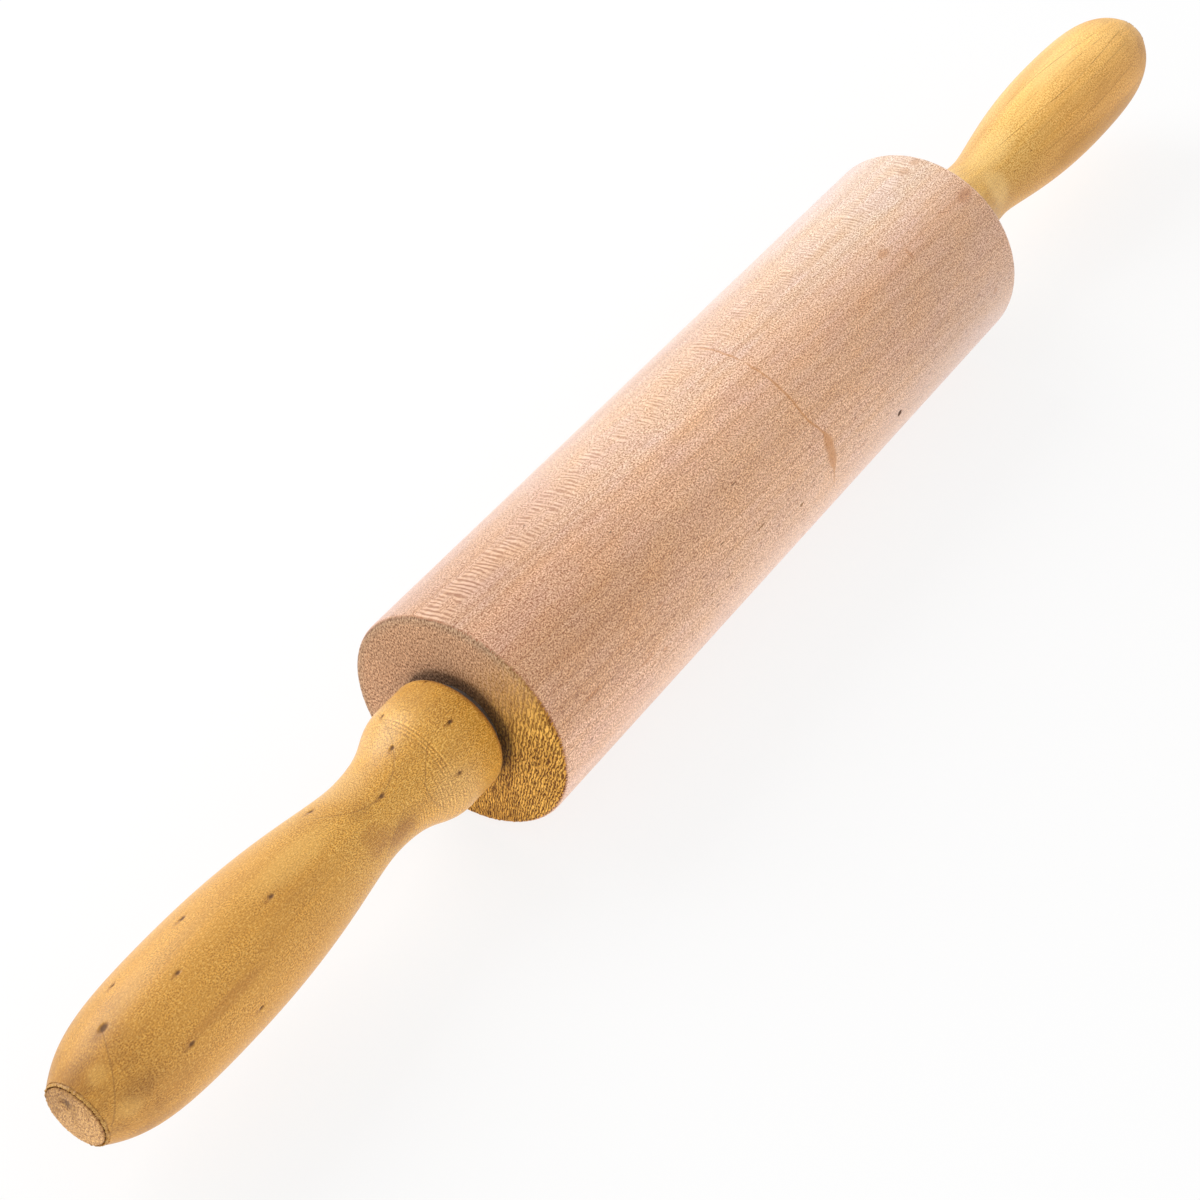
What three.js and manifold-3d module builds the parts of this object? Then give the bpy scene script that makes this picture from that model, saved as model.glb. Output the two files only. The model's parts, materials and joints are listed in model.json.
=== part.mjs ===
// Wooden rolling pin with revolving handles.
//
// A turned barrel carries a steel axle that is pressed through it from end to end. Each turned
// handle revolves by itself on one end of the axle: it runs on two flanged nylon bushes, between
// a steel washer on the barrel's face and a washer and lock nut on the axle's threaded end.
// The nut holds a nylon ring that grips the thread. A wooden plug closes the nut's pocket and
// shows as the small disc at the handle's tip.
//
// Millimetres, +Z up. The pin lies along X, and the origin is on the worktop, under the middle
// of the barrel. On each side "along" is the distance outwards from the barrel's end face.
import * as THREE from "three";
import { mergeVertices } from "three/addons/utils/BufferGeometryUtils.js";
import Module from "manifold-3d";

// Barrel
const BARREL_LENGTH = 200;
const BARREL_DIAMETER = 53.5;
const BARREL_EDGE_RADIUS = 1.3;

// Axle: a rod with a step at each end, where the thread starts
const AXLE_DIAMETER = 8;
const AXLE_STEP = 1;
const AXLE_CHAMFER = 0.6;
const THREAD_PAST_NUT = 1.4;

// Handle outline, from the barrel outwards: collar, shoulder, neck, swell, belly, nose, tip
const COLLAR_DIAMETER = 27.1;
const COLLAR_LENGTH = 9.8;
const COLLAR_EDGE_RADIUS = 2.4;
const SHOULDER_LENGTH = 20;
const NECK_DIAMETER = 18.6;
const SWELL_LENGTH = 49.5;
const BELLY_DIAMETER = 27.8;
const NOSE_LENGTH = 36.1;
const TIP_RIM = 0.75;
const TIP_ROUND_LENGTH = 7.7;
const TIP_ROUND_HEIGHT = 5.4;

// How long each curve keeps the direction it leaves with, as a share of that curve's own length
const COLLAR_HOLD = 0.36;
const NECK_HOLD_INNER = 0.65;
const NECK_HOLD_OUTER = 0.17;
const BELLY_HOLD_INNER = 0.56;
const BELLY_HOLD_OUTER = 0.59;

// Bushes: four alike, two in each handle
const BUSH_WALL = 1;
const BUSH_LENGTH = 14;
const BUSH_FLANGE_RIM = 0.7;
const BUSH_FLANGE_THICKNESS = 1.5;
const BUSH_FLANGE_PROUD = 0.7;

// Washers, lock nuts and end plugs
const THRUST_WASHER_DIAMETER = 20;
const THRUST_WASHER_THICKNESS = 1;
const RETAINING_WASHER_MARGIN = 0.25;
const RETAINING_WASHER_THICKNESS = 1.6;
const NUT_HEX_HEIGHT = 4.5;
const NUT_COLLAR_HEIGHT = 1.5;
const NUT_COLLAR_TAPER = 0.4;
const NUT_LIP = 0.6;
const NUT_CHAMFER_ANGLE = Math.PI / 6;
const LOCK_RING_WALL = 0.7;
const LOCK_RING_HEIGHT = 1.8;
const LOCK_RING_RECESS = 0.2;
const PLUG_THICKNESS = 6;
const PLUG_PROUD = 0.8;
const PLUG_EDGE_RADIUS = 0.6;
const PLUG_AIR = 1.5;

// Clearances, all on one side
const PRESS_GAP = 0.15;
const RUNNING_GAP = 0.3;
const END_FLOAT = 0.3;
const HANDLE_BORE_GAP = 0.8;
const POCKET_GAP = 0.45;

// Facets
const WOOD_SIDES = 48;
const METAL_SIDES = 24;
const HEX_SIDES = 6;
const ARC_STEPS = 4;
const CURVE_STEPS = 8;

// Radii that follow from the sizes above
const barrelRadius = BARREL_DIAMETER / 2;
const axleRadius = AXLE_DIAMETER / 2;
const threadRadius = axleRadius - AXLE_STEP;
const bushBore = axleRadius + RUNNING_GAP;
const bushRadius = bushBore + BUSH_WALL;
const flangeRadius = bushRadius + BUSH_FLANGE_RIM;
const lockRingBore = threadRadius + PRESS_GAP;
const lockRingRadius = lockRingBore + LOCK_RING_WALL;
const lockRingSeat = lockRingRadius + PRESS_GAP;
const nutCollarRadius = lockRingSeat + NUT_LIP;
const nutFlat = nutCollarRadius + NUT_COLLAR_TAPER;
const nutCorner = nutFlat / Math.cos(Math.PI / HEX_SIDES);
const retainingWasherRadius = nutCorner + RETAINING_WASHER_MARGIN;
const pocketRadius = Math.max(retainingWasherRadius, flangeRadius) + POCKET_GAP;
const tipRadius = pocketRadius + TIP_RIM;
const handleBore = axleRadius + HANDLE_BORE_GAP;

// Places along one side, outwards from the barrel's end face
const innerFlangeAlong = THRUST_WASHER_THICKNESS + END_FLOAT;
const innerSeatAlong = innerFlangeAlong + BUSH_FLANGE_THICKNESS;
const handleBaseAlong = innerFlangeAlong + BUSH_FLANGE_PROUD;
const collarEndAlong = handleBaseAlong + COLLAR_LENGTH;
const neckAlong = collarEndAlong + SHOULDER_LENGTH;
const bellyAlong = neckAlong + SWELL_LENGTH;
const tipAlong = bellyAlong + NOSE_LENGTH;
const plugFaceAlong = tipAlong + PLUG_PROUD;
const plugInnerAlong = plugFaceAlong - PLUG_THICKNESS;
const axleEndAlong = plugInnerAlong - PLUG_AIR;
const nutHeight = NUT_HEX_HEIGHT + NUT_COLLAR_HEIGHT;
const nutAlong = axleEndAlong - THREAD_PAST_NUT - nutHeight;
const lockRingAlong = nutAlong + nutHeight - LOCK_RING_RECESS - LOCK_RING_HEIGHT;
const axleStepAlong = nutAlong - RETAINING_WASHER_THICKNESS;
const outerFlangeAlong = axleStepAlong - END_FLOAT;
const pocketFloorAlong = outerFlangeAlong - BUSH_FLANGE_THICKNESS;

// Finishes
const barrelWood = new THREE.MeshStandardMaterial({ color: 0xd3ab8b, roughness: 0.62 });
const handleWood = new THREE.MeshStandardMaterial({ color: 0xc8974f, roughness: 0.42 });
const plugWood = new THREE.MeshStandardMaterial({ color: 0xc79a70, roughness: 0.7 });
const steel = new THREE.MeshStandardMaterial({ color: 0xb9bcc0, roughness: 0.32, metalness: 1 });
const nylon = new THREE.MeshStandardMaterial({ color: 0xece8dd, roughness: 0.5 });

const wasm = await Module();
wasm.setup();

// A geometry as a manifold solid, with its shared corners merged.
function solidOf(geometry) {
  const bare = geometry.clone();
  bare.deleteAttribute("normal");
  bare.deleteAttribute("uv");
  const merged = mergeVertices(bare);
  return new wasm.Manifold(
    new wasm.Mesh({
      numProp: 3,
      vertProperties: new Float32Array(merged.attributes.position.array),
      triVerts: new Uint32Array(merged.index.array),
    }),
  );
}

// A manifold solid as a geometry.
function geometryOf(solid) {
  const { numProp, vertProperties, triVerts } = solid.getMesh();
  const geometry = new THREE.BufferGeometry();
  geometry.setAttribute("position", new THREE.BufferAttribute(vertProperties, numProp));
  geometry.setIndex(new THREE.BufferAttribute(triVerts, 1));
  geometry.computeVertexNormals();
  return geometry;
}

// A round piece about the X axis, from a profile of [along, radius] points. Its flats lie on the
// stated radius, and one of them faces straight down.
function turned(profile, sides) {
  const cornerOverFlat = 1 / Math.cos(Math.PI / sides);
  const points = profile.map(([along, radius]) => new THREE.Vector2(radius * cornerOverFlat, along));
  return new THREE.LatheGeometry(points, sides, Math.PI / sides).rotateZ(-Math.PI / 2);
}

// A plain round or many-sided bar about the X axis.
function rod(from, to, radius, sides) {
  const profile = [
    [from, 0],
    [from, radius],
    [to, radius],
    [to, 0],
  ];
  return turned(profile, sides);
}

// A tube's profile: the outer points from the inner end to the outer end, then the bore back.
function tubeProfile(outer, bore) {
  const first = [outer[0][0], bore];
  const last = [outer.at(-1)[0], bore];
  return [first, ...outer, last, first];
}

// Points of a quarter round about a centre, clockwise from an angle counted in quarter turns.
function quarterRound(along, radius, round, fromQuarter) {
  return Array.from({ length: ARC_STEPS + 1 }, (_, step) => {
    const angle = (Math.PI / 2) * (fromQuarter - step / ARC_STEPS);
    return [along + round * Math.cos(angle), radius + round * Math.sin(angle)];
  });
}

// Points of a smooth curve through a handle's outline, without its first point.
function smoothCurve(start, startPull, endPull, end) {
  const corners = [start, startPull, endPull, end].map((point) => new THREE.Vector2(...point));
  const curve = new THREE.CubicBezierCurve(...corners);
  return curve
    .getPoints(CURVE_STEPS)
    .slice(1)
    .map(({ x, y }) => [x, y]);
}

function barrelGeometry() {
  const half = BARREL_LENGTH / 2;
  const edge = BARREL_EDGE_RADIUS;
  const outer = [
    ...quarterRound(-half + edge, barrelRadius - edge, edge, 2),
    ...quarterRound(half - edge, barrelRadius - edge, edge, 1),
  ];
  return turned(tubeProfile(outer, axleRadius + PRESS_GAP), WOOD_SIDES);
}

function axleGeometry() {
  const step = BARREL_LENGTH / 2 + axleStepAlong;
  const end = BARREL_LENGTH / 2 + axleEndAlong;
  const half = [
    [step, axleRadius],
    [step, threadRadius],
    [end - AXLE_CHAMFER, threadRadius],
    [end, threadRadius - AXLE_CHAMFER],
    [end, 0],
  ];
  const otherHalf = half.map(([along, radius]) => [-along, radius]).reverse();
  return turned([...otherHalf, ...half], METAL_SIDES);
}

// The handle's outside, from the collar's base to the rim round the plug.
function handleOutline() {
  const collarRadius = COLLAR_DIAMETER / 2;
  const neckRadius = NECK_DIAMETER / 2;
  const bellyRadius = BELLY_DIAMETER / 2;
  const edge = COLLAR_EDGE_RADIUS;
  return [
    ...quarterRound(handleBaseAlong + edge, collarRadius - edge, edge, 2),
    [collarEndAlong, collarRadius],
    ...smoothCurve(
      [collarEndAlong, collarRadius],
      [collarEndAlong + COLLAR_HOLD * SHOULDER_LENGTH, collarRadius],
      [neckAlong - NECK_HOLD_INNER * SHOULDER_LENGTH, neckRadius],
      [neckAlong, neckRadius],
    ),
    ...smoothCurve(
      [neckAlong, neckRadius],
      [neckAlong + NECK_HOLD_OUTER * SWELL_LENGTH, neckRadius],
      [bellyAlong - BELLY_HOLD_INNER * SWELL_LENGTH, bellyRadius],
      [bellyAlong, bellyRadius],
    ),
    ...smoothCurve(
      [bellyAlong, bellyRadius],
      [bellyAlong + BELLY_HOLD_OUTER * NOSE_LENGTH, bellyRadius],
      [tipAlong - TIP_ROUND_LENGTH, tipRadius + TIP_ROUND_HEIGHT],
      [tipAlong, tipRadius],
    ),
  ];
}

// The handle is bored through for the axle, with a seat for a bush at each end and a pocket for
// the lock nut behind the tip.
function handleGeometry() {
  const flangeSeat = flangeRadius + PRESS_GAP;
  const bushSeat = bushRadius + PRESS_GAP;
  const sleeveLength = BUSH_LENGTH - BUSH_FLANGE_THICKNESS;
  const inside = [
    [tipAlong, pocketRadius],
    [pocketFloorAlong, pocketRadius],
    [pocketFloorAlong, bushSeat],
    [pocketFloorAlong - sleeveLength, bushSeat],
    [pocketFloorAlong - sleeveLength, handleBore],
    [innerSeatAlong + sleeveLength, handleBore],
    [innerSeatAlong + sleeveLength, bushSeat],
    [innerSeatAlong, bushSeat],
    [innerSeatAlong, flangeSeat],
    [handleBaseAlong, flangeSeat],
  ];
  const outline = handleOutline();
  return turned([...outline, ...inside, outline[0]], WOOD_SIDES);
}

// A bush with its flange's face at 0 and its sleeve towards positive.
function bushGeometry() {
  const outer = [
    [0, flangeRadius],
    [BUSH_FLANGE_THICKNESS, flangeRadius],
    [BUSH_FLANGE_THICKNESS, bushRadius],
    [BUSH_LENGTH, bushRadius],
  ];
  return turned(tubeProfile(outer, bushBore), METAL_SIDES);
}

// A washer or ring with one face at 0.
function washerGeometry(radius, bore, thickness) {
  const outer = [
    [0, radius],
    [thickness, radius],
  ];
  return turned(tubeProfile(outer, bore), METAL_SIDES);
}

// A hexagon nut with chamfered corners, a round collar on its outer end and the seat of the
// locking ring in that collar.
function nutGeometry() {
  const hexagon = rod(0, NUT_HEX_HEIGHT, nutFlat, HEX_SIDES);
  const collar = rod(NUT_HEX_HEIGHT / 2, nutHeight, nutFlat, METAL_SIDES);
  const coneReach = 2 * (nutCorner - nutFlat);
  const coneLength = coneReach * Math.tan(NUT_CHAMFER_ANGLE);
  const chamfers = turned(
    [
      [0, 0],
      [0, nutFlat],
      [coneLength, nutFlat + coneReach],
      [NUT_HEX_HEIGHT - coneLength, nutFlat + coneReach],
      [NUT_HEX_HEIGHT, nutFlat],
      [nutHeight, nutCollarRadius],
      [nutHeight, 0],
    ],
    METAL_SIDES,
  );
  const thread = rod(-nutHeight, 2 * nutHeight, threadRadius + PRESS_GAP, METAL_SIDES);
  const ringSeat = rod(lockRingAlong - nutAlong, 2 * nutHeight, lockRingSeat, METAL_SIDES);
  const outside = solidOf(hexagon).add(solidOf(collar)).intersect(solidOf(chamfers));
  return geometryOf(outside.subtract(solidOf(thread)).subtract(solidOf(ringSeat)));
}

function plugGeometry() {
  const radius = pocketRadius - PRESS_GAP;
  const edge = PLUG_EDGE_RADIUS;
  const profile = [
    [plugInnerAlong, 0],
    [plugInnerAlong, radius],
    ...quarterRound(plugFaceAlong - edge, radius - edge, edge, 1),
    [plugFaceAlong, 0],
  ];
  return turned(profile, METAL_SIDES);
}

function piece(name, geometry, material, along = 0) {
  const mesh = new THREE.Mesh(geometry, material);
  mesh.name = name;
  mesh.position.x = along;
  return mesh;
}

// One handle and everything on that end of the axle. The outer bush is turned end for end.
function handleEnd(side) {
  const end = new THREE.Group();
  const outerBush = piece(`${side}_outer_bush`, bushGeometry(), nylon, outerFlangeAlong);
  outerBush.rotation.z = Math.PI;
  const thrustWasher = washerGeometry(
    THRUST_WASHER_DIAMETER / 2,
    axleRadius + PRESS_GAP,
    THRUST_WASHER_THICKNESS,
  );
  const retainingWasher = washerGeometry(
    retainingWasherRadius,
    threadRadius + PRESS_GAP,
    RETAINING_WASHER_THICKNESS,
  );
  const lockRing = washerGeometry(lockRingRadius, lockRingBore, LOCK_RING_HEIGHT);
  end.add(
    piece(`${side}_thrust_washer`, thrustWasher, steel),
    piece(`${side}_handle`, handleGeometry(), handleWood),
    piece(`${side}_inner_bush`, bushGeometry(), nylon, innerFlangeAlong),
    outerBush,
    piece(`${side}_retaining_washer`, retainingWasher, steel, axleStepAlong),
    piece(`${side}_lock_nut`, nutGeometry(), steel, nutAlong),
    piece(`${side}_lock_ring`, lockRing, nylon, lockRingAlong),
    piece(`${side}_end_plug`, plugGeometry(), plugWood),
  );
  end.position.x = BARREL_LENGTH / 2;
  return end;
}

// Everything is made about the axle's line, which then lies one barrel radius above the worktop.
const aboutAxle = new THREE.Group();
aboutAxle.add(piece("barrel", barrelGeometry(), barrelWood));
aboutAxle.add(piece("axle", axleGeometry(), steel));
const turnOfSide = { right: 0, left: Math.PI };
for (const [side, turn] of Object.entries(turnOfSide)) {
  const half = new THREE.Group();
  half.add(handleEnd(side));
  half.rotation.z = turn;
  aboutAxle.add(half);
}
aboutAxle.position.z = barrelRadius;

const rollingPin = new THREE.Group();
rollingPin.add(aboutAxle);

export default rollingPin;
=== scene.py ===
# The wooden rolling pin, dressed: turned wood with its grain and marks, the hardware, a white studio.
import json
import math
from bisect import bisect_left

import bmesh
import bpy
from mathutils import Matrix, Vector
from mathutils.geometry import interpolate_bezier
from mathutils.noise import noise as unevenness


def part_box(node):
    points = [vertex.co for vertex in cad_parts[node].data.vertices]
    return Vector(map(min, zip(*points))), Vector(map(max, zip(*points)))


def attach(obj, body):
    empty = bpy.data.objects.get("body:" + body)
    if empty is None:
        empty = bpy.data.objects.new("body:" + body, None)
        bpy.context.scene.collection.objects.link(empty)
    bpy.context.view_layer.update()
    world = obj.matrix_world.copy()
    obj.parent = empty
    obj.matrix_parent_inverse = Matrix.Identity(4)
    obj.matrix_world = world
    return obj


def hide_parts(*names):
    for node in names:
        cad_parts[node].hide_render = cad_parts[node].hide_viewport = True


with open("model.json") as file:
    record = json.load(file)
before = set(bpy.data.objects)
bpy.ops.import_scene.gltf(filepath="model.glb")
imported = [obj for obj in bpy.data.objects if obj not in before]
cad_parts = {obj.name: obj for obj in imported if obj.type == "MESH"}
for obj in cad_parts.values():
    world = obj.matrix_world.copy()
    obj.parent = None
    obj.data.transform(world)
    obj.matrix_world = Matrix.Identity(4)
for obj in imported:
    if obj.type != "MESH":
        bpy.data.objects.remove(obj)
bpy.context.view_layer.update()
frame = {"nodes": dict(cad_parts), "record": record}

# Lengths are in millimetres. A turn is in degrees round the axle's line, from the top towards +Y
MM = 0.001


def measured(node):
    """A node's lowest and highest corner, in millimetres."""
    low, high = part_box(node)
    return low / MM, high / MM


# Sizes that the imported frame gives, on the right-hand end where there are two of a piece
barrel_low, barrel_high = measured("barrel")
AXLE_HEIGHT = (barrel_low.z + barrel_high.z) / 2
BARREL_RADIUS = (barrel_high.z - barrel_low.z) / 2
BARREL_END = barrel_high.x
handle_low, handle_high = measured("right_handle")
HANDLE_BASE = handle_low.x
HANDLE_TIP = handle_high.x
BELLY_RADIUS = (handle_high.z - handle_low.z) / 2
plug_low, plug_high = measured("right_end_plug")
PLUG_RADIUS = (plug_high.z - plug_low.z) / 2

# The handle's outline, from the barrel outwards: collar, shoulder, neck, swell, belly, nose
COLLAR_RADIUS = 13.55
COLLAR_LENGTH = 9.8
COLLAR_EDGE = 2.4
SHOULDER_LENGTH = 20.0
NECK_RADIUS = 9.3
SWELL_LENGTH = 49.5
NOSE_LENGTH = 36.1
TIP_RIM = 0.75
TIP_ROUND_LENGTH = 7.7
TIP_ROUND_HEIGHT = 5.4
COLLAR_HOLD = 0.36
NECK_HOLD_INNER = 0.65
NECK_HOLD_OUTER = 0.17
BELLY_HOLD_INNER = 0.56
BELLY_HOLD_OUTER = 0.59

# Fits and edges
BARREL_EDGE = 1.3
PLUG_EDGE = 0.35
PRESS_GAP = 0.15
HANDLE_BORE = 4.8
AXLE_RADIUS = 4.0
BUSH_RADIUS = 5.3
BUSH_FLANGE = 1.5
TIP_RADIUS = PLUG_RADIUS + PRESS_GAP + TIP_RIM

# Worn and torn places. A rate is how many lumps of unevenness go to a millimetre
NICK_DEPTH = 0.14
NICK_RATE = 0.8
TORN_TURN = -153
TORN_HALF = 52
TORN_DEPTH = 0.75
TORN_RATE = 1.9
PIT_DEPTH = 0.22
PIT_NARROW = 0.65
PIT_CUTS = 3
PIT_MARGIN = 1.0
TIP_SCORE = 0.5
TIP_SEAT = 0.36
TIP_RAGGED = 0.24
TIP_WEAR_RATE = 1.3
TIP_WEAR_SHIFT = Vector((0, 0, 50))
TIP_RAGGED_RATE = 2.1
LIP_CLEAR = 0.1
PLUG_SPREAD = 0.6
PLUG_DOME = 0.3
PLUG_UNEVEN = 0.12
PLUG_UNEVEN_RATE = 0.42
PLUG_UNEVEN_SHIFT = Vector((0, 20, 0))
PLUG_FRAYED = 0.1
PLUG_FRAYED_RATE = 1.9
PLUG_DIP = 0.12
PLUG_DIP_RATE = 0.9
# The lip round the plug, as (distance past the handle's tip, distance outside the rim's radius)
TIP_LIP = (
    (-TIP_SCORE, 0.34),
    (-0.44, 0.22),
    (-0.34, 0.2),
    (-0.1, 0.15),
    (0.12, 0.08),
    (0.2, -0.02),
    (0.18, -0.12),
    (0.06, -0.2),
    (-0.2, -0.22),
    (-TIP_SEAT, -0.6),
)
# The hollow in a plug's face: its distance from the middle, its (turn, half length, half width) as a mark,
# and the share of that half length that is dug out
PLUG_PIT_REACH = 3.5
PLUG_PIT = (22, 1.0, 1.7)
PLUG_PIT_DIP = 0.4

# How finely the pieces are made
WOOD_SIDES = 256
BARREL_SIDES = 720
CURVE_POINTS = 28
ARC_POINTS = 8
PLUG_RINGS = 10
WELD = 0.0005
SHARP_EDGE = math.radians(38)


def arc(x, radius, size, start, end):
    """Points of a rounded edge about (x, radius), between two angles in degrees from the outward X."""
    points = []
    for step in range(ARC_POINTS + 1):
        angle = math.radians(start + (end - start) * step / ARC_POINTS)
        points.append((x + size * math.cos(angle), radius + size * math.sin(angle)))
    return points


def curve(start, start_pull, end_pull, end):
    """Points of a smooth curve through the handle's outline, without its first point."""
    corners = [Vector(corner) for corner in (start, start_pull, end_pull, end)]
    return [tuple(point)[:2] for point in interpolate_bezier(*corners, CURVE_POINTS)][1:]


def handle_outline():
    """The right handle's outside, from the collar's base to the rim round the plug."""
    collar_end = HANDLE_BASE + COLLAR_LENGTH
    neck = collar_end + SHOULDER_LENGTH
    belly = neck + SWELL_LENGTH
    outline = arc(HANDLE_BASE + COLLAR_EDGE, COLLAR_RADIUS - COLLAR_EDGE, COLLAR_EDGE, 180, 90)
    outline.append((collar_end, COLLAR_RADIUS))
    outline += curve(
        (collar_end, COLLAR_RADIUS),
        (collar_end + COLLAR_HOLD * SHOULDER_LENGTH, COLLAR_RADIUS),
        (neck - NECK_HOLD_INNER * SHOULDER_LENGTH, NECK_RADIUS),
        (neck, NECK_RADIUS),
    )
    outline += curve(
        (neck, NECK_RADIUS),
        (neck + NECK_HOLD_OUTER * SWELL_LENGTH, NECK_RADIUS),
        (belly - BELLY_HOLD_INNER * SWELL_LENGTH, BELLY_RADIUS),
        (belly, BELLY_RADIUS),
    )
    nose = curve(
        (belly, BELLY_RADIUS),
        (belly + BELLY_HOLD_OUTER * NOSE_LENGTH, BELLY_RADIUS),
        (HANDLE_TIP - TIP_ROUND_LENGTH, TIP_RADIUS + TIP_ROUND_HEIGHT),
        (HANDLE_TIP, TIP_RADIUS),
    )
    outline += [point for point in nose if point[0] < HANDLE_TIP - TIP_SCORE]
    return outline + [(HANDLE_TIP + past, TIP_RADIUS + outside) for past, outside in TIP_LIP]


HANDLE_OUTLINE = handle_outline()


def handle_radius(along):
    """The handle's radius at a distance along from the barrel's end face."""
    x = BARREL_END + along
    place = bisect_left([point[0] for point in HANDLE_OUTLINE], x)
    (x_before, before), (x_after, after) = HANDLE_OUTLINE[place - 1], HANDLE_OUTLINE[place]
    return before + (after - before) * (x - x_before) / (x_after - x_before)


def turned(outline, side=1, sides=WOOD_SIDES, hollow=True):
    """A shape turned about the axle's line from (x, radius) points, mirrored for a side of -1."""
    shape = bmesh.new()
    corners = [shape.verts.new((side * x, 0.0, radius)) for x, radius in outline]
    for start, end in zip(corners, corners[1:]):
        shape.edges.new((start, end))
    if hollow:
        shape.edges.new((corners[-1], corners[0]))
    bmesh.ops.spin(
        shape,
        geom=shape.verts[:] + shape.edges[:],
        cent=(0, 0, 0),
        axis=(1, 0, 0),
        angle=math.tau,
        steps=sides,
        use_merge=True,
    )
    bmesh.ops.remove_doubles(shape, verts=shape.verts, dist=WELD)
    bmesh.ops.recalc_face_normals(shape, faces=shape.faces)
    return shape


BODIES = frame["record"]["behaviour"]["bodies"]
NODE_BODY = {node: body for body, nodes in BODIES.items() for node in nodes}


def finished(node, shape, material):
    """Puts a shape in its place as the finished piece that stands for a node."""
    bmesh.ops.scale(shape, vec=(MM, MM, MM), verts=shape.verts)
    bmesh.ops.translate(shape, vec=(0, 0, AXLE_HEIGHT * MM), verts=shape.verts)
    mesh = bpy.data.meshes.new(node + "_finished")
    shape.to_mesh(mesh)
    shape.free()
    mesh.shade_smooth()
    mesh.set_sharp_from_angle(angle=SHARP_EDGE)
    mesh.materials.append(material)
    piece = bpy.data.objects.new(node + "_finished", mesh)
    bpy.context.scene.collection.objects.link(piece)
    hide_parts(node)
    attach(piece, NODE_BODY[node])


def paint(red, green, blue):
    """A colour as it looks on a screen, 0 to 255, as the linear colour that shaders take."""
    linear = []
    for part in (red, green, blue):
        share = part / 255
        linear.append(share / 12.92 if share <= 0.04045 else ((share + 0.055) / 1.055) ** 2.4)
    return (*linear, 1.0)


class Signal:
    """An output in a finish's node tree. Arithmetic on it adds Math nodes."""

    def __init__(self, finish, socket):
        self.finish = finish
        self.socket = socket

    def __add__(self, other):
        return self.finish.maths("ADD", self, other)

    __radd__ = __add__

    def __sub__(self, other):
        return self.finish.maths("SUBTRACT", self, other)

    def __rsub__(self, other):
        return self.finish.maths("SUBTRACT", other, self)

    def __mul__(self, other):
        return self.finish.maths("MULTIPLY", self, other)

    __rmul__ = __mul__

    def __truediv__(self, other):
        return self.finish.maths("DIVIDE", self, other)

    def __neg__(self):
        return self.finish.maths("MULTIPLY", self, -1.0)

    def __abs__(self):
        return self.finish.maths("ABSOLUTE", self)


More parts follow.
